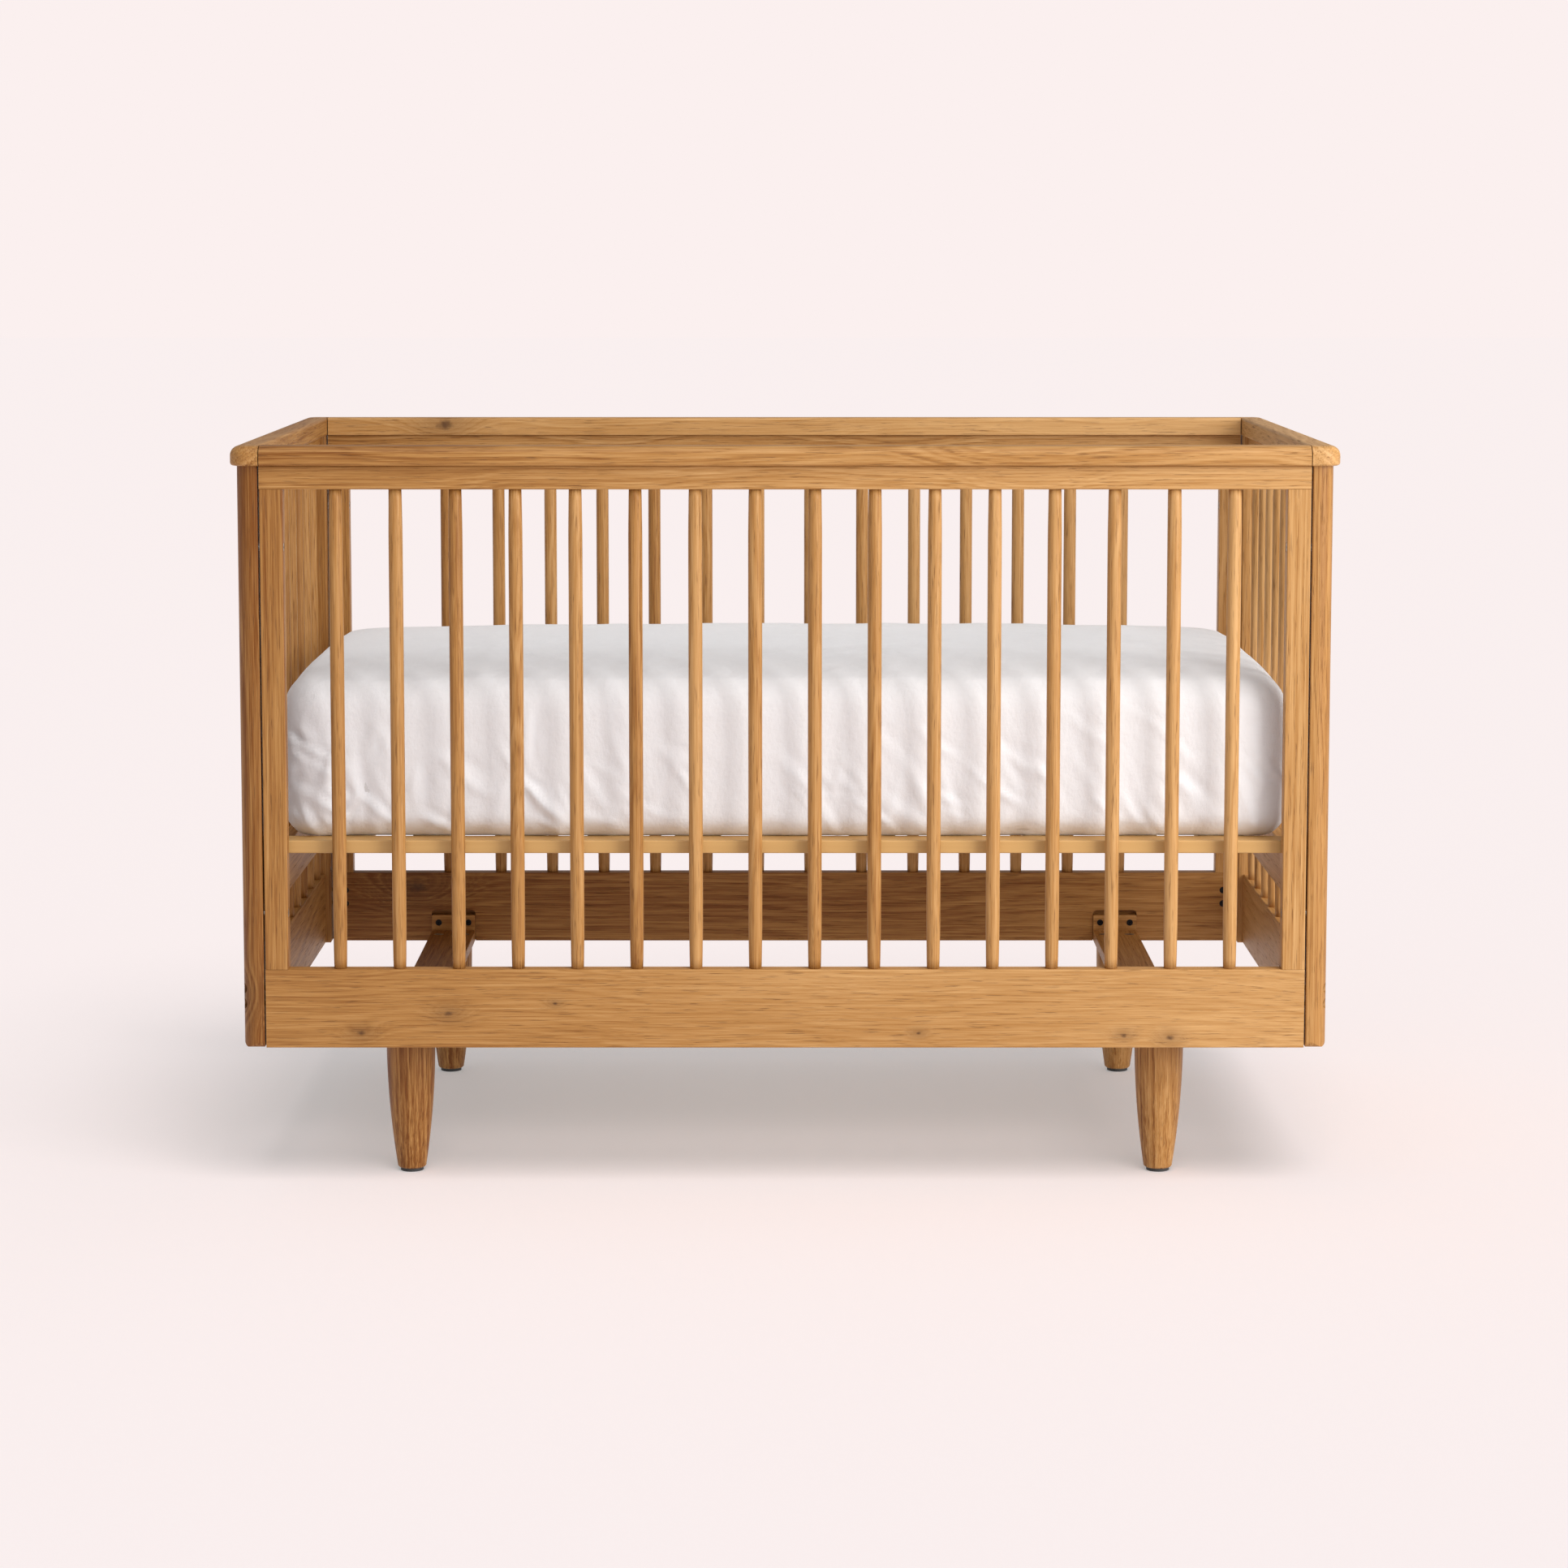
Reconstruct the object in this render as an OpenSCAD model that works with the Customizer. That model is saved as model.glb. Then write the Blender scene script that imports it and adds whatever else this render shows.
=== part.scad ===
// A baby crib of solid oak: two end frames with rounded corner posts, a front and a rear
// spindle panel bolted between them, rounded cap rails all round, two cross braces that carry
// four turned legs, and a mattress base that bolts to the posts at one of three heights.
// X runs along the crib, Y from front to rear, Z up, and the floor is at zero.

/* [Overall] */
// Length over the corner posts
crib_l = 1400; // [1150:10:1700]
// Depth over the corner posts
crib_w = 770; // [620:10:950]
// Height of the panels, from the foot of the posts to the top of the cap rails
panel_h = 778; // [640:1:950]
// Height of the frame above the floor, which the legs and glides fill
stand_h = 181; // [110:1:260]

/* [Posts] */
// Size of a post along the crib
post_x = 28; // [24:0.5:40]
// How far a post reaches in past the panel that stands against it
post_lip = 16; // [14:0.5:24]
// Radius of a post's outer upright corner
post_r = 20; // [6:0.5:22]
// Radius under a post's outer foot
post_foot_r = 8; // [2:0.5:12]

/* [Panels] */
// Thickness of the front and rear panels
panel_t = 22; // [20:0.5:27]
// Thickness of the end rails
end_t = 20; // [18:0.5:24]
// Height of the bottom rails
bottom_rail_h = 102.5; // [90:0.5:130]
// Height of the top rails
top_rail_h = 30; // [28:0.5:45]
// Width of the stiles at both ends of the front and rear panels
stile_w = 30; // [26:0.5:45]
// Gap between a panel and its posts
panel_gap = 2; // [0.5:0.1:4]
// Eased edge on every rail and stile
edge_r = 1.6; // [0.5:0.1:3]

/* [Spindles] */
// Diameter of a spindle along its middle
spindle_d = 18; // [15:0.5:22]
// Diameter of a spindle where it meets a rail
spindle_end_d = 16.8; // [14.5:0.1:18]
// Length of the taper at each end
spindle_taper = 70; // [20:5:120]
// Widest gap that may be left between two spindles
max_gap = 60; // [50:1:65]
// Gap beside the first spindle of the front and rear panels
long_end_gap = 57; // [30:0.5:60]
// Gap beside the first spindle of an end frame
short_end_gap = 32.4; // [20:0.2:60]
// Diameter of the tenon on a spindle's end
tenon_d = 12; // [9:0.5:13]
// Length of every tenon
tenon_l = 12; // [8:0.5:12]

/* [Cap rails] */
// Thickness of the cap rails
cap_t = 25.5; // [22:0.5:32]
// Width of the front and rear cap rails
cap_w = 38; // [34:0.5:50]
// How far the cap rails stand out past the posts
cap_over = 8; // [2:0.5:14]
// Roundover along the outer top edge
cap_top_r = 13; // [4:0.5:14]
// Roundover along the outer lower edge
cap_low_r = 4; // [1:0.5:6]
// Corner radius of the cap rails, seen from above
cap_corner_r = 24; // [16:0.5:30]
// Joint between the end caps and the long caps
cap_joint = 1.2; // [0.2:0.1:2]

/* [Braces and legs] */
// Distance from the crib's middle to the middle of a brace
brace_x = 491.5; // [380:0.5:560]
// Width of a brace
brace_w = 64; // [58:0.5:80]
// Thickness of a brace
brace_t = 16.5; // [15.5:0.5:22]
// Height of the end block that holds a brace
block_h = 39; // [36:0.5:60]
// Thickness of the end block
block_t = 14; // [12:0.5:18]
// Depth of the pocket in the bottom rail that takes the end block
pocket_d = 10; // [7:0.5:12]
// Distance from the outside of the crib to the middle of a leg
leg_inset = 85; // [75:1:140]
// Diameter at the top of a leg
leg_top_d = 64; // [40:0.5:64]
// Diameter at the foot of a leg
leg_foot_d = 36.6; // [32:0.2:40]
// Diameter of the glide under a leg
glide_d = 30; // [20:0.5:30]
// Thickness of the glide
glide_t = 4.4; // [3:0.1:8]

/* [Mattress base] */
// Height of the base's top above the floor, at its highest setting
base_top = 447.5; // [420:0.5:520]
// Thickness of the base's long boards
base_t = 16.5; // [14:0.5:22]
// Width of the base's long boards
base_rail_w = 60; // [50:1:90]
// Gap between the base and the panels
base_gap = 4; // [2:0.5:8]
// Depth of the end boards below the long boards
end_board_h = 63; // [50:1:90]
// Thickness of the end boards
end_board_t = 18; // [15:0.5:22]
// Width of a slat
slat_w = 60; // [45:1:80]
// Thickness of a slat
slat_t = 10; // [8:0.5:11]
// Number of heights the base bolts on at
base_positions = 3; // [1:1:3]
// Step from one height to the next
base_step = 55; // [30:1:55]

/* [Mattress] */
// Gap between the mattress and the posts, at its head and foot
mattress_end_gap = 14; // [12:1:60]
// Gap between the mattress and the panels, at its sides
mattress_side_gap = 16; // [13:1:60]
// Thickness of the mattress in its sheet
mattress_t = 216; // [120:1:240]
// Corner radius seen from above
mattress_corner_r = 70; // [45:1:120]
// Roundover along the top and bottom edges
mattress_edge_r = 38; // [15:1:44]
// Thickness of the mattress's quilted cover
cover_t = 8; // [4:0.5:12]
// Thickness of the fitted sheet
sheet_t = 1.2; // [0.8:0.1:2]

/* [Hardware] */
// Diameter of the machine bolts
bolt_d = 6; // [5:0.5:7]
// Diameter of a bolt's head
head_d = 12.5; // [10:0.5:13]
// Thickness of a bolt's head
head_t = 3.5; // [2.5:0.1:4.5]
// Outer diameter of a threaded insert
insert_d = 9.6; // [8.6:0.1:10.5]
// Length of a threaded insert
insert_l = 12; // [8:0.5:12]
// Diameter of a barrel nut
barrel_d = 10; // [9:0.5:12]
// Diameter of a cam lock
cam_d = 14.6; // [13:0.1:15]
// Diameter of the dowels under the cap rails
dowel_d = 8; // [6:0.5:10]
// Length of the dowels under the cap rails
dowel_l = 24; // [16:1:24]

/* [Hidden] */
$fn = 64;
OAK = [0.79, 0.56, 0.33];
OAK_DARK = [0.62, 0.40, 0.21];
TAN = [0.72, 0.54, 0.30];
STEEL = [0.66, 0.66, 0.66];
BLACK = [0.08, 0.08, 0.09];
WHITE = [0.95, 0.95, 0.96];

slack = 0.1;         // play round a tenon, dowel, insert or bolt
end_slack = 0.5;     // room past the end of a tenon or dowel
rest_gap = 0.3;      // gap under the mattress, and inside its sheet
proud = 1;           // how far a cutter runs past the face it opens
floor_wall = 3.5;    // wood left behind a barrel nut

// Heights
cap_z = stand_h + panel_h - cap_t;
top_rail_z = cap_z - top_rail_h;
opening_z = stand_h + bottom_rail_h;
opening_h = top_rail_z - opening_z;

// Inner faces and middle planes
post_y = panel_t + post_lip;           // size of a post from front to rear
post_in_x = crib_l / 2 - post_x;
post_in_y = crib_w / 2 - post_y;
panel_end_x = post_in_x - panel_gap;
stile_in_x = panel_end_x - stile_w;
stile_x = panel_end_x - stile_w / 2;
panel_in_y = crib_w / 2 - panel_t;
panel_y = crib_w / 2 - panel_t / 2;
end_x = crib_l / 2 - end_t / 2;
cap_in_x = panel_end_x;
end_cap_w = crib_l / 2 + cap_over - cap_in_x;
cap_out_y = crib_w / 2 + cap_over;

// Mortise and tenon
tenon_wall = 5;                        // wood beside a flat tenon, along the member
stile_tenon_t = panel_t / 2 - 1;
end_tenon_t = end_t / 2 - 2;
end_tenon_l = tenon_l + 3;

// Bolts between the panels and the posts
panel_bolt_z = [opening_z + 72.5, top_rail_z - 74.5];
corner_bolt_z = [stand_h + 56, stand_h + 76];
corner_bolt_y = panel_in_y + 9;
corner_bolt_reach = 52;                // from the post's outer face to the barrel nut
corner_seat = 9.5;                     // depth of the bolt head's seat in the post
barrel_x = crib_l / 2 - corner_bolt_reach + 4;
barrel_recess = 2;
barrel_l = panel_t - barrel_recess - floor_wall;
bolt_hole_d = bolt_d + 0.6;
bolt_bore_d = bolt_d + slack;
head_hole_d = head_d + 0.5;
hex_d = 4.6;
hex_deep = 2.5;
stile_seat = 4;

// Braces
block_z = stand_h;
block_in_y = panel_in_y + pocket_d - block_t;
pocket_top_gap = 7;
pocket_corner_r = 6;
block_bolt_x = 22;
block_bolt_z = stand_h + 28;
block_head_d = 9;
block_seat = 4;
block_insert_l = panel_t - pocket_d - 3;
cam_x = 19;
cam_inset = 32;
cam_h = 12.5;
cam_rod_d = 6;
leg_y = crib_w / 2 - leg_inset;
leg_bolt_d = 8;
leg_insert_d = 12;
leg_insert_l = brace_t - 2.5;
leg_bolt_in_leg = 36;
leg_chamfer = 1.5;
nail_d = 3;
nail_l = 14;

// Mattress base
base_half_y = panel_in_y - base_gap;
base_half_x = panel_end_x;
base_z = base_top - base_t;
rabbet_w = 20;
end_board_in_x = base_half_x - end_board_t;
slat_half_y = base_half_y - base_rail_w + rabbet_w - end_slack;
base_bolt_y = post_in_y + 7;
base_bolt_z = base_z - end_board_h / 2;
base_end_gap = 0.4;                    // between a base bolt's tip and the post
screw_d = 3.5;
screw_head_d = 7;
slat_screw_l = 14;
board_screw_l = 42;

// Mattress
mattress_l = 2 * (post_in_x - mattress_end_gap);
mattress_w = 2 * (panel_in_y - mattress_side_gap);

// Cap rail dowels
long_dowels = 5;
end_dowels = 3;
dowel_end = 60;                        // from the end of a rail to its outermost dowel
post_dowel_inset = 12;
dowel_z = cap_z - dowel_l / 2;

// ---- Places ----

// Middles of count things spread evenly over a span, the outer ones inset from its ends
function spread(count, span, inset) =
    let (reach = span / 2 - inset)
    [for (i = [0 : count - 1]) count == 1 ? 0 : -reach + 2 * reach * i / (count - 1)];

// Middles of a row of bars of width w, as few as leave no gap wider than max_gap
function row_of_bars(span, w, end_gap) =
    spread(ceil((span - 2 * end_gap - w) / (w + max_gap)) + 1, span, end_gap + w / 2);

long_places = row_of_bars(2 * stile_in_x, spindle_d, long_end_gap);
end_places = row_of_bars(2 * post_in_y, spindle_d, short_end_gap);
slat_places = row_of_bars(2 * end_board_in_x, slat_w, max_gap - 7);
long_dowel_places = spread(long_dowels, 2 * panel_end_x, dowel_end);
end_dowel_places = spread(end_dowels, 2 * post_in_y, dowel_end);
base_bolt_heights = [for (i = [0 : base_positions - 1]) base_bolt_z - i * base_step];

// Turns a shape made for the right rear corner to the corner on side sx, sy
module corner(sx, sy) {
    mirror([sx < 0 ? 1 : 0, 0, 0])
        mirror([0, sy < 0 ? 1 : 0, 0])
            children();
}

module every_corner() {
    for (sx = [-1, 1], sy = [-1, 1]) corner(sx, sy) children();
}

// ---- Shapes ----

// What a radius r takes off the corner at the origin of the quadrant below and left of it
module corner_cut(r) {
    difference() {
        translate([-r, -r]) square(r + proud);
        translate([-r, -r]) circle(r);
    }
}

// A w by h rectangle with its corner radii given from the lower left one round to the upper left
module rounded_rect(w, h, radii) {
    difference() {
        square([w, h]);
        rotate(180) corner_cut(radii[0]);
        translate([w, 0]) rotate(270) corner_cut(radii[1]);
        translate([w, h]) corner_cut(radii[2]);
        translate([0, h]) rotate(90) corner_cut(radii[3]);
    }
}

// A profile drawn in Y and Z, run along X
module along_x(l) {
    rotate([90, 0, 90]) linear_extrude(l, center = true) children();
}

// A profile drawn in X and Z, run along Y
module along_y(l) {
    rotate([90, 0, 0]) linear_extrude(l, center = true) children();
}

module box(size, middle) {
    translate(middle) cube(size, center = true);
}

// A cylinder along X from x0 to x1
module rod_x(d, x0, x1, y, z) {
    translate([x0, y, z]) rotate([0, 90, 0]) cylinder(d = d, h = x1 - x0);
}

// A cylinder along Y from y0 to y1
module rod_y(d, x, y0, y1, z) {
    translate([x, y1, z]) rotate([90, 0, 0]) cylinder(d = d, h = y1 - y0);
}

module rod_z(d, x, y, z0, z1) {
    translate([x, y, z0]) cylinder(d = d, h = z1 - z0);
}

// A flat-headed socket bolt along +X, its head's face at the origin and its tip at length
module bolt(length, head = head_d, shank = bolt_d) {
    difference() {
        union() {
            rod_x(head, 0, head_t, 0, 0);
            rod_x(shank, head_t - proud, length, 0, 0);
        }
        translate([-proud, 0, 0]) rotate([0, 90, 0]) cylinder(d = hex_d, h = hex_deep + proud, $fn = 6);
    }
}

// A threaded insert along +X, its open face at the origin
module insert(outer, bore, length) {
    difference() {
        rod_x(outer, 0, length, 0, 0);
        rod_x(bore, -proud, length + proud, 0, 0);
    }
}

// A countersunk wood screw pointing down, its head's face at the origin
module screw(length) {
    head_deep = (screw_head_d - screw_d) / 2;
    rotate_extrude() polygon([
        [0, 0], [screw_head_d / 2, 0], [screw_d / 2, -head_deep], [screw_d / 2, -length + screw_d],
        [0, -length]
    ]);
}

module screw_hole(length) {
    translate([0, 0, -length - end_slack]) cylinder(d = screw_d + 2 * slack, h = length + end_slack + proud);
    head_deep = (screw_head_d - screw_d) / 2;
    translate([0, 0, -head_deep - slack])
        cylinder(d1 = screw_d + 2 * slack, d2 = screw_head_d + 4 * slack, h = head_deep + 2 * slack);
}

// ---- End frames ----

// The right rear post; the others are mirrored from it
module post() {
    half_x = crib_l / 2;
    half_y = crib_w / 2;
    post_h = cap_z - stand_h;
    difference() {
        intersection() {
            translate([post_in_x, post_in_y, stand_h])
                linear_extrude(post_h)
                    rounded_rect(post_x, post_y, [edge_r, edge_r, post_r, edge_r]);
            translate([post_in_x, half_y - post_y / 2, stand_h])
                along_y(post_y + 2 * proud)
                    rounded_rect(post_x, post_h + proud, [edge_r, post_foot_r, edge_r, edge_r]);
            translate([half_x - post_x / 2, post_in_y, stand_h])
                along_x(post_x + 2 * proud)
                    rounded_rect(post_y, post_h + proud, [edge_r, post_foot_r, edge_r, edge_r]);
        }
        end_rail_tenon(stand_h, bottom_rail_h, slack, end_slack);
        end_rail_tenon(top_rail_z, top_rail_h, slack, end_slack);
        for (z = panel_bolt_z)
            rod_x(insert_d + slack, post_in_x - proud, post_in_x + insert_l + end_slack, panel_y, z);
        for (z = corner_bolt_z) {
            rod_x(bolt_hole_d, post_in_x - proud, half_x, corner_bolt_y, z);
            rod_x(head_hole_d, half_x - corner_seat, half_x + proud, corner_bolt_y, z);
        }
        for (z = base_bolt_heights)
            rod_x(insert_d + slack, post_in_x - proud, post_in_x + insert_l + slack, base_bolt_y, z);
        rod_z(dowel_d + slack, half_x - post_x / 2, half_y - post_dowel_inset,
              dowel_z - end_slack, cap_z + proud);
    }
}

// The tenon that an end rail of height h sends into the rear post, grown by the play given
module end_rail_tenon(z, h, play = 0, end_play = 0) {
    box([end_tenon_t + 2 * play, end_tenon_l + end_play + proud, h - 2 * tenon_wall + 2 * play],
        [end_x, post_in_y + (end_tenon_l + end_play - proud) / 2, z + h / 2]);
}

// A rail of the right end frame
module end_rail(z, h) {
    union() {
        translate([end_x - end_t / 2, 0, z])
            along_y(2 * post_in_y)
                rounded_rect(end_t, h, [edge_r, edge_r, edge_r, edge_r]);
        for (sy = [-1, 1]) corner(1, sy) end_rail_tenon(z, h);
    }
}

module end_bottom_rail() {
    difference() {
        end_rail(stand_h, bottom_rail_h);
        spindle_holes_y(opening_z - tenon_l - end_slack, opening_z + proud);
    }
}

module end_top_rail() {
    difference() {
        end_rail(top_rail_z, top_rail_h);
        spindle_holes_y(top_rail_z - proud, top_rail_z + tenon_l + end_slack);
        for (y = end_dowel_places)
            rod_z(dowel_d + slack, end_x, y, dowel_z - end_slack, cap_z + proud);
    }
}

module spindle_holes_y(z0, z1) {
    for (y = end_places) rod_z(tenon_d + 2 * slack, end_x, y, z0, z1);
}

// A turned spindle that stands on the bottom rail, with a tenon at each end
module spindle() {
    half = [
        [0, -tenon_l], [tenon_d / 2, -tenon_l], [tenon_d / 2, 0],
        [spindle_end_d / 2, 0], [spindle_d / 2, spindle_taper]
    ];
    other_half = [for (i = [len(half) - 1 : -1 : 0]) [half[i][0], opening_h - half[i][1]]];
    rotate_extrude() polygon(concat(half, other_half));
}

module end_spindles() {
    for (y = end_places) translate([end_x, y, opening_z]) spindle();
}

// Section of a cap rail: the outer edge at the left, well rounded on top
module cap_section(w) {
    rounded_rect(w, cap_t, [cap_low_r, edge_r, cap_low_r, cap_top_r]);
}

// The right end cap: it runs the full depth, reaches in as far as the panels' ends, and its
// corners are rounded seen from above
module end_cap() {
    out_x = crib_l / 2 + cap_over;
    arc_x = out_x - cap_corner_r;
    arc_y = cap_out_y - cap_corner_r;
    difference() {
        union() {
            translate([out_x, 0, cap_z])
                mirror([1, 0, 0]) along_y(2 * arc_y) cap_section(end_cap_w);
            for (sy = [-1, 1]) corner(1, sy) {
                translate([arc_x, arc_y, cap_z])
                    rotate_extrude(angle = 90)
                        translate([cap_corner_r, 0]) mirror([1, 0]) cap_corner_section();
                translate([(cap_in_x + arc_x) / 2, cap_out_y, cap_z])
                    mirror([0, 1, 0]) along_x(arc_x - cap_in_x) cap_corner_section();
            }
        }
        for (y = end_dowel_places)
            rod_z(dowel_d + slack, end_x, y, cap_z - proud, cap_z + dowel_l / 2 + end_slack);
        for (sy = [-1, 1])
            rod_z(dowel_d + slack, crib_l / 2 - post_x / 2, sy * (crib_w / 2 - post_dowel_inset),
                  cap_z - proud, cap_z + dowel_l / 2 + end_slack);
    }
}

// The cap section as far in as the corner's centre, where it is cut square
module cap_corner_section() {
    intersection() {
        cap_section(end_cap_w);
        translate([-proud, -proud]) square([cap_corner_r + proud, cap_t + 2 * proud]);
    }
}

// The rear cap, between the end caps
module long_cap() {
    difference() {
        translate([0, cap_out_y, cap_z])
            mirror([0, 1, 0]) along_x(2 * (cap_in_x - cap_joint)) cap_section(cap_w);
        for (x = long_dowel_places)
            rod_z(dowel_d + slack, x, panel_y, cap_z - proud, cap_z + dowel_l / 2 + end_slack);
    }
}

// ---- Front and rear panels, made for the rear ----

module long_rail(z, h) {
    translate([0, panel_in_y, z])
        along_x(2 * panel_end_x)
            rounded_rect(panel_t, h, [edge_r, edge_r, edge_r, edge_r]);
}

// The tenon on a stile's end, on side sx, its shoulder at z and reaching dir * tenon_l past it
module stile_tenon(sx, z, dir, play = 0, end_play = 0) {
    reach = tenon_l + end_play;
    box([stile_w - 2 * tenon_wall + 2 * play, stile_tenon_t + 2 * play, reach + proud],
        [sx * stile_x, panel_y, z + dir * (reach - proud) / 2]);
}

module long_top_rail() {
    difference() {
        long_rail(top_rail_z, top_rail_h);
        for (x = long_places)
            rod_z(tenon_d + 2 * slack, x, panel_y, top_rail_z - proud, top_rail_z + tenon_l + end_slack);
        for (x = long_dowel_places)
            rod_z(dowel_d + slack, x, panel_y, dowel_z - end_slack, cap_z + proud);
        for (sx = [-1, 1]) stile_tenon(sx, top_rail_z, 1, slack, end_slack);
    }
}

module long_bottom_rail() {
    difference() {
        long_rail(stand_h, bottom_rail_h);
        for (x = long_places)
            rod_z(tenon_d + 2 * slack, x, panel_y, opening_z - tenon_l - end_slack, opening_z + proud);
        for (sx = [-1, 1]) {
            stile_tenon(sx, opening_z, -1, slack, end_slack);
            corner(sx, 1) corner_bolt_holes();
            for (bx = [-brace_x, brace_x]) if (bx * sx > 0) translate([bx, 0, 0]) block_pocket();
        }
    }
}

// Holes in the end of a bottom rail, for its bolts and barrel nuts
module corner_bolt_holes() {
    for (z = corner_bolt_z) {
        rod_x(bolt_hole_d, barrel_x - 2 * barrel_d, panel_end_x + proud, corner_bolt_y, z);
        rod_y(barrel_d + 2 * slack, barrel_x, panel_in_y - proud, crib_w / 2 - floor_wall + slack, z);
    }
}

// The routed pocket for a brace's end block, and the holes for its inserts
module block_pocket() {
    pocket_h = block_h + pocket_top_gap;
    translate([-brace_w / 2 - end_slack, panel_in_y + pocket_d / 2 - proud / 2, stand_h - proud])
        along_y(pocket_d + proud)
            rounded_rect(brace_w + 2 * end_slack, pocket_h + proud,
                         [edge_r, edge_r, pocket_corner_r, pocket_corner_r]);
    for (x = [-block_bolt_x, block_bolt_x])
        rod_y(insert_d + slack, x, panel_in_y, panel_in_y + pocket_d + block_insert_l + slack, block_bolt_z);
}

module stile() {
    difference() {
        union() {
            translate([stile_in_x, panel_in_y, opening_z])
                linear_extrude(opening_h)
                    rounded_rect(stile_w, panel_t, [edge_r, edge_r, edge_r, edge_r]);
            stile_tenon(1, opening_z, -1);
            stile_tenon(1, top_rail_z, 1);
        }
        for (z = panel_bolt_z) {
            rod_x(bolt_hole_d, stile_in_x - proud, panel_end_x + proud, panel_y, z);
            rod_x(head_hole_d, stile_in_x - proud, stile_in_x + stile_seat, panel_y, z);
        }
    }
}

module long_spindles() {
    for (x = long_places) translate([x, panel_y, opening_z]) spindle();
}

// ---- Braces and legs ----

module brace() {
    difference() {
        translate([brace_x - brace_w / 2, 0, stand_h])
            along_y(2 * block_in_y)
                rounded_rect(brace_w, brace_t, [edge_r, edge_r, edge_r, edge_r]);
        for (sy = [-1, 1], x = [-cam_x, cam_x]) {
            cam_y = block_in_y - cam_inset;
            rod_z(cam_d + 2 * slack, brace_x + x, sy * cam_y, stand_h + brace_t - cam_h - slack,
                  stand_h + brace_t + proud);
            corner(1, sy)
                rod_y(cam_rod_d + 2 * slack, brace_x + x, cam_y, block_in_y + proud, stand_h + brace_t / 2);
        }
        for (sy = [-1, 1])
            rod_z(leg_insert_d + slack, brace_x, sy * leg_y, stand_h - proud, stand_h + leg_insert_l + slack);
    }
}

// The upright block in the rear rail's pocket, which takes the right brace's end
module brace_block() {
    difference() {
        translate([brace_x - brace_w / 2, block_in_y + block_t / 2, block_z])
            along_y(block_t)
                rounded_rect(brace_w, block_h, [edge_r, edge_r, edge_r, edge_r]);
        for (x = [-block_bolt_x, block_bolt_x]) {
            rod_y(bolt_hole_d, brace_x + x, block_in_y - proud, panel_in_y + pocket_d + proud, block_bolt_z);
            rod_y(block_head_d + end_slack, brace_x + x, block_in_y - proud, block_in_y + block_seat,
                  block_bolt_z);
        }
        for (x = [-cam_x, cam_x])
            rod_y(cam_rod_d + slack, brace_x + x, block_in_y - proud, block_in_y + block_t - 3,
                  stand_h + brace_t / 2);
    }
}

// A turned leg: its side is one long arc, upright where it meets the brace
module leg() {
    leg_h = stand_h - glide_t;
    top_r = leg_top_d / 2;
    foot_r = leg_foot_d / 2;
    bow = top_r - foot_r;
    side_r = (leg_h * leg_h + bow * bow) / (2 * bow);
    difference() {
        translate([brace_x, leg_y, glide_t])
            rotate_extrude($fn = 96)
                intersection() {
                    translate([top_r - side_r, leg_h]) circle(side_r, $fn = 1440);
                    polygon([
                        [0, 0], [foot_r - leg_chamfer, 0], [top_r, top_r - foot_r + leg_chamfer],
                        [top_r, leg_h], [0, leg_h]
                    ]);
                }
        rod_z(leg_bolt_d + slack, brace_x, leg_y, stand_h - leg_bolt_in_leg - end_slack, stand_h + proud);
        rod_z(nail_d + slack, brace_x, leg_y, 0, glide_t + nail_l + end_slack);
    }
}

module leg_glides() {
    every_corner() {
        rod_z(glide_d, brace_x, leg_y, 0, glide_t);
        rod_z(nail_d, brace_x, leg_y, glide_t / 2, glide_t + nail_l);
    }
}

module leg_bolts() {
    every_corner()
        rod_z(leg_bolt_d, brace_x, leg_y, stand_h - leg_bolt_in_leg, stand_h + leg_insert_l - proud);
}

module leg_inserts() {
    every_corner()
        translate([brace_x, leg_y, stand_h])
            rotate([0, -90, 0]) insert(leg_insert_d, leg_bolt_d + slack, leg_insert_l);
}

// ---- Fixings of the frame ----

module panel_bolts() {
    every_corner()
        for (z = panel_bolt_z)
            translate([stile_in_x + stile_seat - head_t, panel_y, z])
                bolt(stile_w - stile_seat + head_t + panel_gap + insert_l - proud);
}

module panel_inserts() {
    every_corner()
        for (z = panel_bolt_z)
            translate([post_in_x, panel_y, z]) insert(insert_d, bolt_bore_d, insert_l);
}

module corner_bolts() {
    head_x = crib_l / 2 - corner_seat + head_t;
    every_corner()
        for (z = corner_bolt_z)
            translate([head_x, corner_bolt_y, z])
                mirror([1, 0, 0]) bolt(head_x - barrel_x + barrel_d);
}

// Cross-drilled nuts that lie in the rail, seen from inside the crib
module barrel_nuts() {
    slot_w = 1.2;
    y0 = panel_in_y + barrel_recess;
    every_corner()
        for (z = corner_bolt_z)
            difference() {
                rod_y(barrel_d, barrel_x, y0, y0 + barrel_l, z);
                rod_x(bolt_bore_d, barrel_x - barrel_d, barrel_x + barrel_d, corner_bolt_y, z);
                box([barrel_d + proud, 2 * slot_w, slot_w], [barrel_x, y0, z]);
            }
}

module block_bolts() {
    every_corner()
        for (x = [-block_bolt_x, block_bolt_x])
            translate([brace_x + x, block_in_y + block_seat - head_t, block_bolt_z])
                rotate([0, 0, 90])
                    bolt(block_t - block_seat + head_t + block_insert_l - proud, block_head_d);
}

module block_inserts() {
    every_corner()
        for (x = [-block_bolt_x, block_bolt_x])
            translate([brace_x + x, panel_in_y + pocket_d, block_bolt_z])
                rotate([0, 0, 90]) insert(insert_d, bolt_bore_d, block_insert_l);
}

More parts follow.
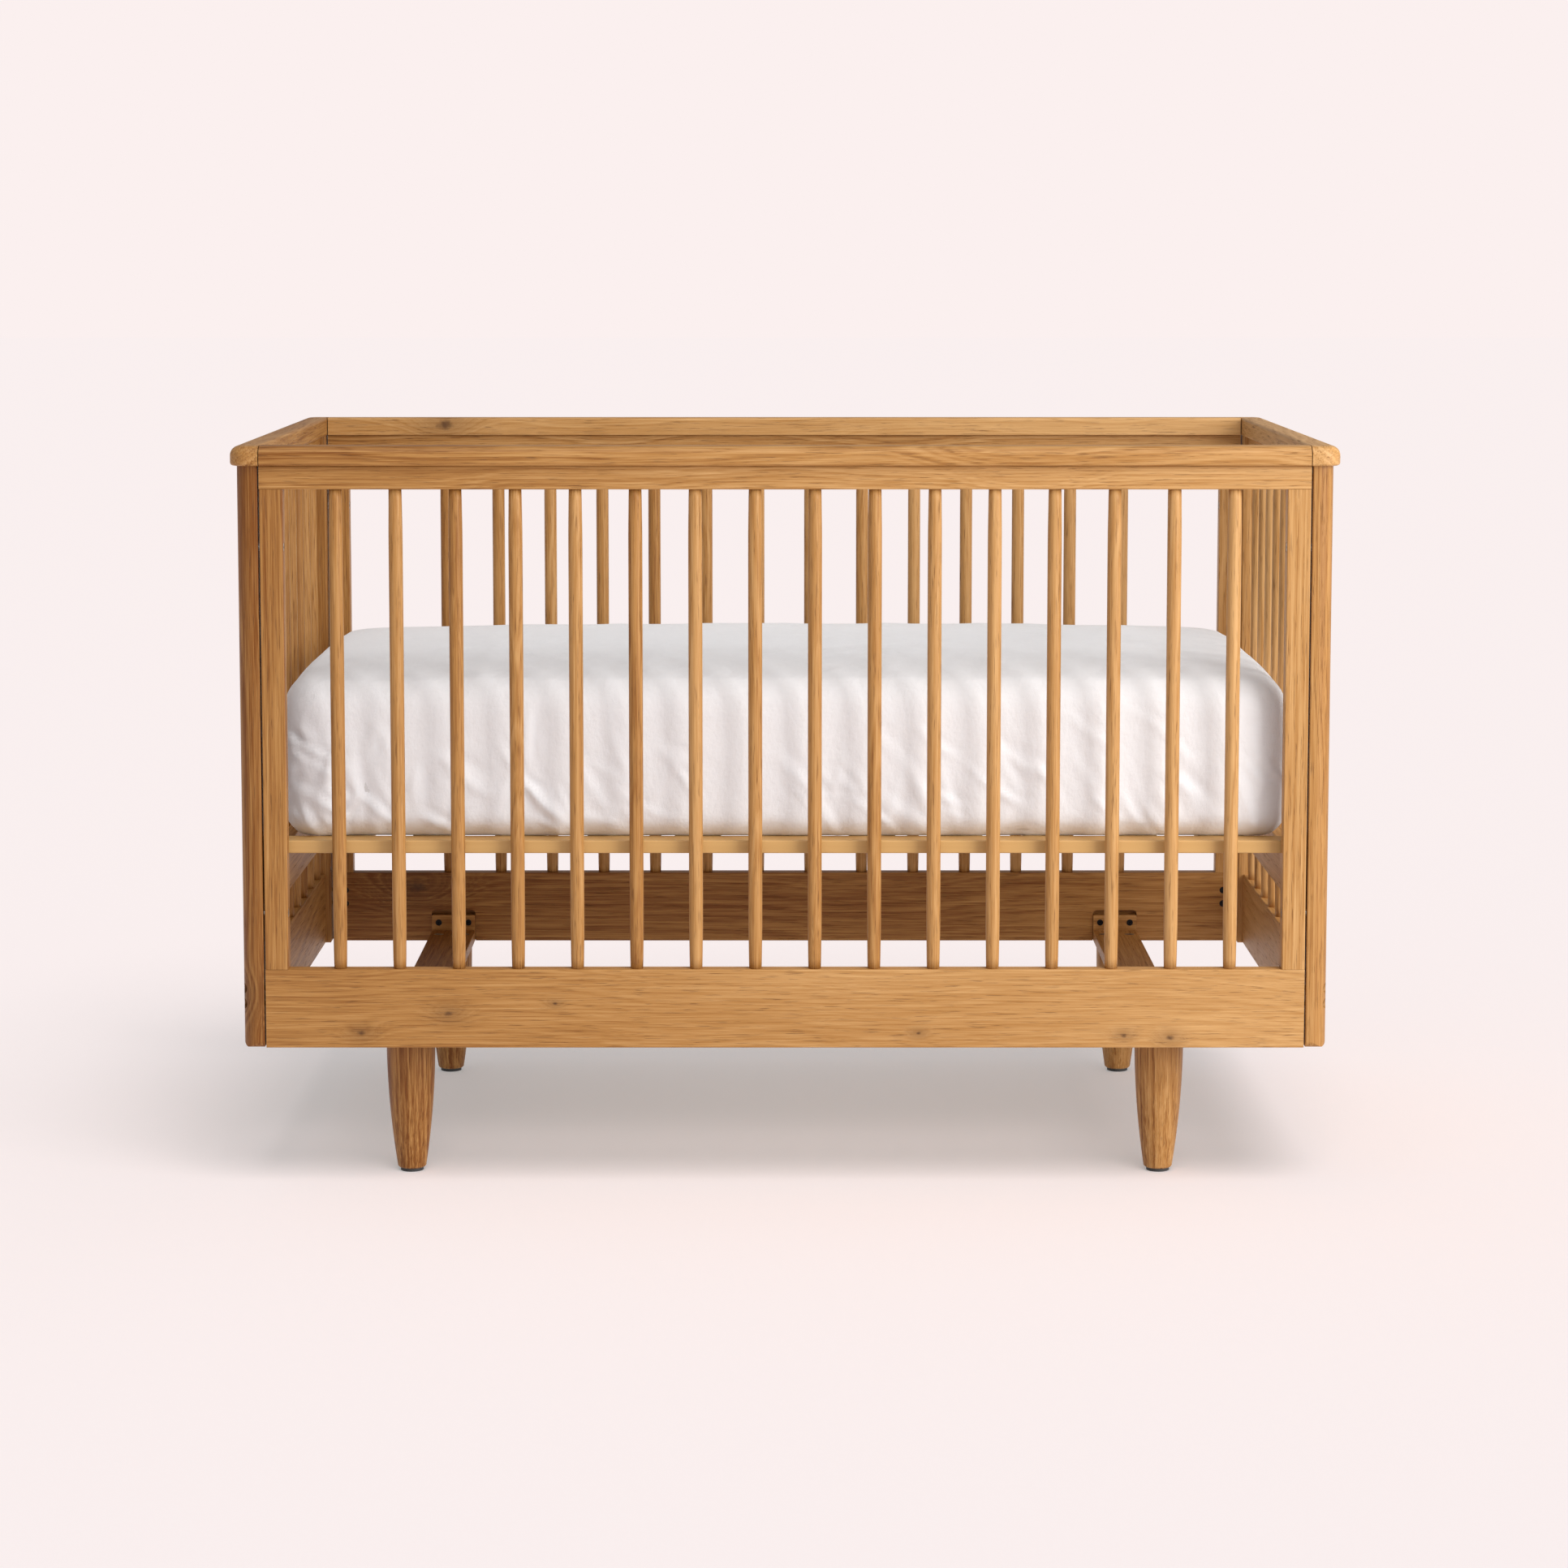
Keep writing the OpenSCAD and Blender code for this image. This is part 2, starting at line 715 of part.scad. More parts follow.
module cam_locks() {
    cam_y = block_in_y - cam_inset;
    cross_l = 7;
    every_corner()
        for (x = [-cam_x, cam_x])
            difference() {
                rod_z(cam_d, brace_x + x, cam_y, stand_h + brace_t - cam_h, stand_h + brace_t);
                rod_y(cam_rod_d + slack, brace_x + x, cam_y, cam_y + cam_d, stand_h + brace_t / 2);
                box([cross_l, 1.4, 2], [brace_x + x, cam_y, stand_h + brace_t]);
                box([1.4, cross_l, 2], [brace_x + x, cam_y, stand_h + brace_t]);
            }
}

module cam_dowels() {
    every_corner()
        for (x = [-cam_x, cam_x])
            rod_y(cam_rod_d, brace_x + x, block_in_y - cam_inset + cam_d / 4,
                  block_in_y + block_t - 3 - slack, stand_h + brace_t / 2);
}

module cap_dowels() {
    for (sy = [-1, 1], x = long_dowel_places)
        rod_z(dowel_d, x, sy * panel_y, dowel_z, dowel_z + dowel_l);
    for (sx = [-1, 1], y = end_dowel_places)
        rod_z(dowel_d, sx * end_x, y, dowel_z, dowel_z + dowel_l);
    every_corner()
        rod_z(dowel_d, crib_l / 2 - post_x / 2, crib_w / 2 - post_dowel_inset, dowel_z, dowel_z + dowel_l);
}

// ---- Mattress base ----

// The rear long board: a rabbet along its inner edge carries the slats
module base_board() {
    inner_y = base_half_y - base_rail_w;
    difference() {
        translate([0, inner_y, base_z])
            along_x(2 * base_half_x)
                rounded_rect(base_rail_w, base_t, [edge_r, edge_r, edge_r, edge_r]);
        box([2 * end_board_in_x, rabbet_w + proud, slat_t + proud],
            [0, inner_y + (rabbet_w - proud) / 2, base_top + (proud - slat_t) / 2]);
        for (x = slat_places)
            translate([x, inner_y + rabbet_w / 2, base_top]) screw_hole(slat_screw_l);
        for (sx = [-1, 1]) corner(sx, 1) board_screws() screw_hole(board_screw_l);
    }
}

// Places its children where the right end of the rear long board is screwed to the end board
module board_screws() {
    for (inset = [15, base_rail_w - 15])
        translate([base_half_x - end_board_t / 2, base_half_y - inset, base_top]) children();
}

module base_end_board() {
    difference() {
        translate([end_board_in_x, 0, base_z - end_board_h])
            along_y(2 * base_half_y)
                rounded_rect(end_board_t, end_board_h, [edge_r, edge_r, edge_r, edge_r]);
        for (sy = [-1, 1]) corner(1, sy) {
            rod_x(bolt_hole_d, end_board_in_x - proud, base_half_x + proud, base_bolt_y, base_bolt_z);
            board_screws() screw_hole(board_screw_l);
        }
    }
}

module base_slats() {
    for (x = slat_places)
        difference() {
            translate([x - slat_w / 2, 0, base_top - slat_t])
                along_y(2 * slat_half_y)
                    rounded_rect(slat_w, slat_t, [edge_r, edge_r, edge_r, edge_r]);
            for (sy = [-1, 1])
                translate([x, sy * (base_half_y - base_rail_w + rabbet_w / 2), base_top])
                    screw_hole(slat_screw_l);
        }
}

module slat_screws() {
    for (x = slat_places, sy = [-1, 1])
        translate([x, sy * (base_half_y - base_rail_w + rabbet_w / 2), base_top]) screw(slat_screw_l);
}

module base_board_screws() {
    every_corner() board_screws() screw(board_screw_l);
}

// The four bolts of the base, drawn back to the posts' faces, as they are while it is moved
module base_bolts() {
    every_corner()
        translate([end_board_in_x - head_t, base_bolt_y, base_bolt_z])
            bolt(head_t + end_board_t + panel_gap - base_end_gap);
}

module base_inserts() {
    every_corner()
        for (z = base_bolt_heights)
            translate([post_in_x, base_bolt_y, z]) insert(insert_d, bolt_bore_d, insert_l);
}

// ---- Mattress ----

// A rounded pad, set in by the same distance on its top and all its sides, its underside lifted
module pad(inset, lift = 0) {
    edge = mattress_edge_r - inset;
    reach_x = mattress_l / 2 - mattress_corner_r;
    reach_y = mattress_w / 2 - mattress_corner_r;
    z0 = base_top + rest_gap + lift;
    z1 = base_top + rest_gap + mattress_t - inset;
    hull() {
        for (x = [-reach_x, reach_x], y = [-reach_y, reach_y])
            for (z = [z0 + edge, z1 - edge])
                translate([x, y, z])
                    rotate_extrude($fn = 32)
                        intersection() {
                            translate([mattress_corner_r - mattress_edge_r, 0]) circle(edge, $fn = 32);
                            translate([0, -edge]) square([mattress_corner_r, 2 * edge]);
                        }
    }
}

// A quilted cover, with a sealed hollow in place of its light foam core
module mattress() {
    difference() {
        pad(sheet_t + rest_gap);
        pad(sheet_t + rest_gap + cover_t, cover_t);
    }
}

// The sheet covers the top and the sides, and is open underneath
module fitted_sheet() {
    hem_z = base_top + 12;
    difference() {
        pad(0);
        pad(sheet_t);
        box([mattress_l + 2, mattress_w + 2, 2 * (hem_z - base_top)], [0, 0, base_top]);
    }
}

color(OAK_DARK) corner(-1, -1) post();  // left_front_post
color(OAK_DARK) corner(1, -1) post();  // right_front_post
color(OAK_DARK) corner(-1, 1) post();  // left_rear_post
color(OAK_DARK) corner(1, 1) post();  // right_rear_post
color(OAK) corner(-1, 1) end_cap();  // left_end_cap
color(OAK) end_cap();  // right_end_cap
color(OAK) corner(1, -1) long_cap();  // front_cap
color(OAK) long_cap();  // rear_cap
color(OAK) corner(-1, 1) end_top_rail();  // left_end_top_rail
color(OAK) end_top_rail();  // right_end_top_rail
color(OAK) corner(-1, 1) end_bottom_rail();  // left_end_bottom_rail
color(OAK) end_bottom_rail();  // right_end_bottom_rail
color(OAK) corner(-1, 1) end_spindles();  // left_end_spindles
color(OAK) end_spindles();  // right_end_spindles
color(OAK) corner(1, -1) long_top_rail();  // front_top_rail
color(OAK) long_top_rail();  // rear_top_rail
color(OAK) corner(1, -1) long_bottom_rail();  // front_bottom_rail
color(OAK) long_bottom_rail();  // rear_bottom_rail
color(OAK) corner(-1, -1) stile();  // left_front_stile
color(OAK) corner(1, -1) stile();  // right_front_stile
color(OAK) corner(-1, 1) stile();  // left_rear_stile
color(OAK) stile();  // right_rear_stile
color(OAK) corner(1, -1) long_spindles();  // front_spindles
color(OAK) long_spindles();  // rear_spindles
color(OAK_DARK) corner(-1, 1) brace();  // left_brace
color(OAK_DARK) brace();  // right_brace
color(OAK_DARK) corner(-1, -1) brace_block();  // left_front_brace_block
color(OAK_DARK) corner(1, -1) brace_block();  // right_front_brace_block
color(OAK_DARK) corner(-1, 1) brace_block();  // left_rear_brace_block
color(OAK_DARK) brace_block();  // right_rear_brace_block
color(OAK_DARK) corner(-1, -1) leg();  // left_front_leg
color(OAK_DARK) corner(1, -1) leg();  // right_front_leg
color(OAK_DARK) corner(-1, 1) leg();  // left_rear_leg
color(OAK_DARK) leg();  // right_rear_leg
color(BLACK) leg_glides();
color(STEEL) leg_bolts();
color(STEEL) leg_inserts();
color(STEEL) panel_bolts();
color(STEEL) panel_inserts();
color(BLACK) corner_bolts();
color(BLACK) barrel_nuts();
color(BLACK) block_bolts();
color(STEEL) block_inserts();
color(STEEL) cam_locks();
color(STEEL) cam_dowels();
color(OAK) cap_dowels();
color(TAN) corner(1, -1) base_board();  // base_front_board
color(TAN) base_board();  // base_rear_board
color(OAK_DARK) corner(-1, 1) base_end_board();  // left_base_end_board
color(OAK_DARK) base_end_board();  // right_base_end_board
color(TAN) base_slats();
color(STEEL) slat_screws();
color(STEEL) base_board_screws();
color(BLACK) base_bolts();
color(STEEL) base_inserts();
color(WHITE) mattress();
color(WHITE) fitted_sheet();
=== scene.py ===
import math
import random

import bmesh
import bpy
import numpy as np
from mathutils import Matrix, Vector, noise


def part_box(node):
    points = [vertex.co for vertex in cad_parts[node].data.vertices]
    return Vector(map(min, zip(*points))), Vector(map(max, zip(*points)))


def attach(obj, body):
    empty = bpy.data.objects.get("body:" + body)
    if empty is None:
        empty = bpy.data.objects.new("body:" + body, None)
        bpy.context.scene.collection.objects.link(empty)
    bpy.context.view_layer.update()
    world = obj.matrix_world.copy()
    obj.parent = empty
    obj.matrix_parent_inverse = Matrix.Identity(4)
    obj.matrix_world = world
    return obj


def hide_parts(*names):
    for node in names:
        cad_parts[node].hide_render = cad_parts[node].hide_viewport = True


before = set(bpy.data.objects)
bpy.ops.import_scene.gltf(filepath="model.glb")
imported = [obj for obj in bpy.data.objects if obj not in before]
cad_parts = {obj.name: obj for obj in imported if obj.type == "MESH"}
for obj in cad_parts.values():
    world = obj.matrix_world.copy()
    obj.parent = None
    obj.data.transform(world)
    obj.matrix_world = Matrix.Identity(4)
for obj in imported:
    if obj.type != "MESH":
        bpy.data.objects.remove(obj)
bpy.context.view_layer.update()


# ---- The studio ----
# A pale pink paper floor, lit a little from below, runs out to a backdrop of the same colour. A
# soft box stands to the front right, a wide bank of light hangs overhead, and the room fills in.
BACKDROP = (0.965, 0.871, 0.863)
FLOOR = (0.945, 0.790, 0.776)
FLOOR_GLOW = (0.22, 0.265, 0.275)
floor_half = 40.0
sensor_width = 36.0

bpy.context.scene.view_settings.view_transform = "Standard"


class Wire:
    """One output of a material's nodes. Sums on it add Math nodes, and node() adds any other."""

    def __init__(self, tree, socket):
        self.tree = tree
        self.socket = socket

    def node(self, kind, settings=None, inputs=None, output=0):
        """Adds a node: its settings are set first, then its inputs get values or other wires."""
        made = self.tree.nodes.new("ShaderNode" + kind)
        for name, value in (settings or {}).items():
            if name == "stops":
                set_stops(made.color_ramp, value)
            else:
                setattr(made, name, value)
        for name, value in (inputs or {}).items():
            if isinstance(value, Wire):
                self.tree.links.new(value.socket, made.inputs[name])
            else:
                made.inputs[name].default_value = value
        return Wire(self.tree, made.outputs[output])

    def sum(self, operation, first, second=0.0, third=0.0):
        inputs = {0: first, 1: second, 2: third}
        return self.node("Math", {"operation": operation}, inputs)

    def __add__(self, other):
        return self.sum("ADD", self, other)

    __radd__ = __add__

    def __sub__(self, other):
        return self.sum("SUBTRACT", self, other)

    def __rsub__(self, other):
        return self.sum("SUBTRACT", other, self)

    def __mul__(self, other):
        return self.sum("MULTIPLY", self, other)

    __rmul__ = __mul__

    def __truediv__(self, other):
        return self.sum("DIVIDE", self, other)

    def __pow__(self, other):
        return self.sum("POWER", self, other)

    def __rpow__(self, other):
        return self.sum("POWER", other, self)

    def high(self, other):
        return self.sum("MAXIMUM", self, other)

    def sine(self):
        return self.sum("SINE", self)

    def whole(self):
        """This value, rounded to a whole number."""
        return self.sum("ROUND", self)

    def step(self, start, end):
        """0 before start and 1 after end, with a smooth turn between them."""
        settings = {"interpolation_type": "SMOOTHSTEP"}
        return self.node("MapRange", settings, {"Value": self, "From Min": start, "From Max": end})

    def noise(self, scale, detail=2.0, roughness=0.5):
        """Noise on this vector, from about 0 to 1."""
        inputs = {"Vector": self, "Scale": scale, "Detail": detail, "Roughness": roughness}
        return self.node("TexNoise", {}, inputs)

    def mixed(self, first, second):
        """Colour first where this is 0, and second where it is 1."""
        return self.node("Mix", {"data_type": "RGBA"}, {0: self, 6: first, 7: second}, 2)

    def times(self, x, y, z):
        """This vector, scaled along each axis."""
        return self.node("VectorMath", {"operation": "MULTIPLY"}, {0: self, 1: (x, y, z)})

    def split(self):
        made = self.tree.nodes.new("ShaderNodeSeparateXYZ")
        self.tree.links.new(self.socket, made.inputs[0])
        return [Wire(self.tree, out) for out in made.outputs]

    def joined(self, x, y, z):
        return self.node("CombineXYZ", {}, {0: x, 1: y, 2: z})


def set_stops(ramp, stops):
    while len(ramp.elements) < len(stops):
        ramp.elements.new(1.0)
    for element, (place, colour) in zip(ramp.elements, stops):
        element.position = place
        element.color = (*colour, 1.0)


class Finish:
    """A material in the making: place gives the point on the piece, and fit() feeds the shader."""

    def __init__(self, name):
        self.material = bpy.data.materials.new(name)
        self.material.use_nodes = True
        self.tree = self.material.node_tree
        self.shader = self.tree.nodes["Principled BSDF"]
        self.place = self.start("TexCoord", {}, "Object")

    def start(self, kind, settings, output=0):
        made = self.tree.nodes.new("ShaderNode" + kind)
        for name, value in settings.items():
            setattr(made, name, value)
        return Wire(self.tree, made.outputs[output])

    def fit(self, height=None, depth=0.0, **sockets):
        """Sets or links the shader's sockets; height is a relief, depth metres deep."""
        for name, value in sockets.items():
            socket = self.shader.inputs[name.replace("_", " ")]
            if isinstance(value, Wire):
                self.tree.links.new(value.socket, socket)
            else:
                socket.default_value = value
        if height is not None:
            bump = self.place.node("Bump", {}, {"Height": height, "Distance": depth})
            self.tree.links.new(bump.socket, self.shader.inputs["Normal"])
        return self.material


def paper_floor():
    finish = Finish("pink_paper")
    fibre = finish.place.noise(180.0, 3.0)
    colour = (fibre * 0.02).mixed((*FLOOR, 1.0), (*(0.9 * c for c in FLOOR), 1.0))
    return finish.fit(Base_Color=colour, Roughness=0.9, Specular_IOR_Level=0.0,
                      Emission_Color=(*FLOOR_GLOW, 1.0), Emission_Strength=1.0,
                      height=fibre, depth=0.0001)


floor_mesh = bpy.data.meshes.new("floor")
floor_corners = [(x * floor_half, y * floor_half, 0.0) for x, y in ((-1, -1), (1, -1), (1, 1), (-1, 1))]
floor_mesh.from_pydata(floor_corners, [], [(0, 1, 2, 3)])
floor_mesh.materials.append(paper_floor())
floor = bpy.data.objects.new("floor", floor_mesh)
bpy.context.scene.collection.objects.link(floor)


def add_light(name, kind, place, aim, colour, **settings):
    data = bpy.data.lights.new(name, kind)
    data.color = colour
    for key, value in settings.items():
        setattr(data, key, value)
    light = bpy.data.objects.new(name, data)
    light.location = place
    light.rotation_euler = (Vector(aim) - Vector(place)).to_track_quat("-Z", "Y").to_euler()
    bpy.context.scene.collection.objects.link(light)
    return light


add_light("overhead_bank", "SUN", (0.9, -1.9, 4.0), (0.0, 0.0, 0.0), (1.0, 0.99, 0.98),
          energy=1.38, angle=math.radians(38))
key_light = add_light("front_soft_box", "AREA", (3.0, -2.7, 1.9), (0.1, 0.0, 0.5), (1.0, 0.98, 0.955),
                      energy=148.0, size=2.6)
lit = bpy.data.collections.new("lit_by_the_soft_box")
bpy.context.scene.collection.children.link(lit)
key_light.light_linking.receiver_collection = lit

world = bpy.data.worlds.new("room")
bpy.context.scene.world = world
world.use_nodes = True
sky = Wire(world.node_tree, world.node_tree.nodes["Background"].outputs[0])
seen = sky.node("LightPath", {}, {}, "Is Camera Ray")
backdrop = sky.node("Background", {}, {"Color": (*BACKDROP, 1.0), "Strength": 1.0})
fill = sky.node("Background", {}, {"Color": (0.97, 0.95, 0.95, 1.0), "Strength": 0.40})
room = sky.node("MixShader", {}, {0: seen, 1: fill, 2: backdrop})
world.node_tree.links.new(room.socket, world.node_tree.nodes["World Output"].inputs["Surface"])

camera_data = bpy.data.cameras.new("camera")
camera_data.sensor_width = sensor_width
camera_data.lens = 87.18
camera_data.shift_x = 0.0033
camera_data.shift_y = -0.10
camera_data.clip_end = 100.0
camera = bpy.data.objects.new("camera", camera_data)
camera.location = (-0.008, -5.209, 1.227)
camera.rotation_euler = (math.radians(90 - 5.913), 0.0, 0.0)
bpy.context.scene.collection.objects.link(camera)
bpy.context.scene.camera = camera


# ---- Legs and glides ----
# Four solid oak legs, turned to a long convex taper and stained honey with the rest of the
# frame. Each screws into a brace with a hanger bolt, and stands on a nailed nylon glide.
HONEY_DARK = (0.190, 0.058, 0.004)
HONEY = (0.400, 0.190, 0.050)
HONEY_LIGHT = (0.600, 0.345, 0.136)
PORE = (0.110, 0.038, 0.008)
KNOT = (0.070, 0.026, 0.009)
AXES = {"X": (0, 1, 2), "Y": (1, 0, 2), "Z": (2, 0, 1)}


def oak(name, along, seed, tone=0.0, pith=(0.11, 0.05), knots=(), each=None, contrast=1.0, painted_light_drift=0.24):
    """Stained oak with its grain along one axis.

    tone is how pale the piece is. drift is painted light: in each metre to the right the piece
    is painted paler, standing in for the soft box's light falling off towards the left. pith is
    how far away the middle of the tree was, across the grain, in metres. Each knot is (place
    along, place across, radius), the place across being on the third of AXES. each is the name
    of an attribute that tells apart the bars of one piece.
    """
    finish = Finish(name)
    axis = AXES[along]
    parts = finish.place.split()
    run, side, face = [parts[i] for i in axis]
    # Painted light: every piece is painted paler towards the right, standing in for the soft box's
    # light falling off towards the left.
    shade = parts[0] * painted_light_drift + tone
    if each:
        number = finish.start("Attribute", {"attribute_name": each}, "Fac")
        run = run + number * 7.3
        side = side + number * 0.9
        shade = (number - 0.5) * 0.28 + shade
    bend = 0.0
    dark = None
    for place, across, radius in knots:
        away = (((run - place) / 1.7) ** 2.0 + (face - across) ** 2.0) ** 0.5
        near = away / radius
        pull = 2.718 ** (near * near * -0.16)
        bend = pull * radius * 3.2 + bend
        ragged = finish.place.noise(140.0, 3.0)
        heart = (1.0 - (near + ragged * 0.9).step(0.35, 1.7)) * 0.9
        halo = pull * 0.34
        spot = heart.high(halo)
        dark = spot if dark is None else dark.high(spot)

    wood = finish.place.joined(run + seed * 1.37, side + seed * 0.53, face + seed * 0.29)
    wander = wood.times(0.9, 5.0, 5.0).noise(1.0, 2.0)
    sway = wood.times(2.6, 1.0, 1.0).noise(1.0, 1.0)
    rings_from = ((side + pith[0]) ** 2.0 + (face + pith[1] + (sway - 0.5) * 0.11) ** 2.0) ** 0.5
    ring = (rings_from + (wander - 0.5) * 0.05 + bend) * 230.0
    settings = {"noise_dimensions": "1D"}
    streak = wood.times(6.0, 330.0, 330.0).noise(1.0, 4.0, 0.65)
    fine = wood.times(11.0, 640.0, 640.0).noise(1.0, 2.0, 0.6)
    cloud = wood.times(1.6, 9.0, 9.0).noise(1.0, 2.0)
    fleck = wood.times(30.0, 620.0, 620.0).noise(1.0, 2.0, 0.55).step(0.57, 0.70)
    ragged_ring = ring + (streak - 0.5) * 2.6
    growth = finish.place.node("TexNoise", settings, {"W": ragged_ring, "Scale": 1.0, "Detail": 3.0})
    pores = fleck * (growth.step(0.66, 0.36) * 0.75 + 0.25)

    level = (growth - 0.5) * (0.72 * contrast) + (streak - 0.5) * (0.78 * contrast)
    level = level + (fine - 0.5) * 0.75 + (cloud - 0.5) * 0.5 + (shade + 0.54)
    stops = [(0.0, HONEY_DARK), (0.45, HONEY), (1.0, HONEY_LIGHT)]
    colour = level.node("ValToRGB", {"stops": stops}, {"Fac": level})
    colour = (pores * 0.52).mixed(colour, (*PORE, 1.0))
    rough = streak * 0.12 + pores * 0.18 + 0.40
    height = streak * 0.35 + fine * 0.25 - pores * 0.9
    if dark:
        colour = dark.mixed(colour, (*KNOT, 1.0))
        rough = rough + dark * 0.08
        height = height - dark * 0.5
    return finish.fit(Base_Color=colour, Roughness=rough, Specular_IOR_Level=0.32,
                      height=height, depth=0.00035)


def coat(node, material):
    """Gives a CAD piece its finish."""
    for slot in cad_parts[node].material_slots:
        slot.material = material


def moulded(name, colour, rough):
    finish = Finish(name)
    speck = finish.place.noise(2600.0, 2.0)
    cloud = finish.place.noise(60.0, 2.0)
    darker = tuple(0.55 * c for c in colour)
    mixed = cloud.mixed((*colour, 1.0), (*darker, 1.0))
    return finish.fit(Base_Color=mixed, Roughness=speck * 0.2 + rough, height=speck, depth=0.00005)


for seed, corner in enumerate(("left_front", "right_front", "left_rear", "right_rear")):
    coat(corner + "_leg", oak(corner + "_leg_oak", "Z", 3 + seed, tone=-0.20, pith=(0.02, 0.035),
                              contrast=1.5))
coat("leg_glides", moulded("grey_nylon", (0.05, 0.05, 0.052), 0.45))


# ---- Braces and their blocks ----
# Two oak boards run from front to rear under the box and carry the legs. A cam lock pulls each
# end against an upright oak block, which two black socket bolts hold in a pocket in the rail.
for seed, side in enumerate(("left", "right")):
    coat(side + "_brace", oak(side + "_brace_oak", "Y", 11 + seed, tone=-0.20))
    for row, end in enumerate(("front", "rear")):
        name = f"{side}_{end}_brace_block"
        coat(name, oak(name + "_oak", "X", 15 + 2 * seed + row, tone=-0.16))


# ---- End frames ----
# Each end is a glued frame: two corner posts with a well rounded outer edge, a top and a bottom
# rail tenoned between them, and nine turned spindles let into the rails.
for seed, corner in enumerate(("left_front", "right_front", "left_rear", "right_rear")):
    tones = {"left_front": -0.27, "right_front": -0.24}
    knots = [(0.250, -0.372, 0.0075)] if corner == "left_front" else []
    coat(corner + "_post", oak(corner + "_post_oak", "Z", 21 + seed, tone=tones.get(corner, -0.08),
                               pith=(0.05, 0.16), knots=knots))
for seed, side in enumerate(("left", "right")):
    coat(side + "_end_top_rail", oak(side + "_end_top_rail_oak", "Y", 31 + seed))
    coat(side + "_end_bottom_rail",
         oak(side + "_end_bottom_rail_oak", "Y", 33 + seed, pith=(0.03, 0.09)))

long_row_count = 16
end_row_count = 9
spindle_middle_r = 0.009
spindle_end_r = 0.0084
spindle_taper = 0.070


class Shape:
    """A Geometry Nodes tree in the making, with named inputs for its sizes."""

    def __init__(self, name):
        self.tree = bpy.data.node_groups.new(name, "GeometryNodeTree")
        self.tree.interface.new_socket("Geometry", in_out="OUTPUT", socket_type="NodeSocketGeometry")
        self.given = self.tree.nodes.new("NodeGroupInput")
        self.values = {}

    def size(self, name, kind, value):
        """Adds a named input, of a kind such as Float or Int, and returns its socket."""
        self.tree.interface.new_socket(name, in_out="INPUT", socket_type="NodeSocket" + kind)
        self.values[name] = value
        return self.given.outputs[name]

    def node(self, kind, settings=None, inputs=None, output=0):
        made = self.tree.nodes.new(kind)
        for name, value in (settings or {}).items():
            setattr(made, name, value)
        for name, value in (inputs or {}).items():
            if isinstance(value, bpy.types.NodeSocket):
                self.tree.links.new(value, made.inputs[name])
            else:
                made.inputs[name].default_value = value
        return made.outputs[output]

    def math(self, operation, first, second=0.0):
        return self.node("ShaderNodeMath", {"operation": operation}, {0: first, 1: second})

    def mesh(self, name, geometry, material):
        """Ends the tree, runs it and returns its result as a plain mesh object."""
        real = self.node("GeometryNodeRealizeInstances", {}, {"Geometry": geometry})
        done = self.node("GeometryNodeSetMaterial", {}, {"Geometry": real, "Material": material})
        out = self.tree.nodes.new("NodeGroupOutput")
        self.tree.links.new(done, out.inputs[0])
        carrier = bpy.data.objects.new(name + "_carrier", bpy.data.meshes.new(name + "_carrier"))
        bpy.context.scene.collection.objects.link(carrier)
        modifier = carrier.modifiers.new(name, "NODES")
        modifier.node_group = self.tree
        for item in self.tree.interface.items_tree:
            if item.in_out == "INPUT":
                modifier[item.identifier] = self.values[item.name]
        graph = bpy.context.evaluated_depsgraph_get()
        result = bpy.data.meshes.new_from_object(carrier.evaluated_get(graph), depsgraph=graph)
        result.name = name
        bpy.data.objects.remove(carrier)
        piece = bpy.data.objects.new(name, result)
        bpy.context.scene.collection.objects.link(piece)
        return piece


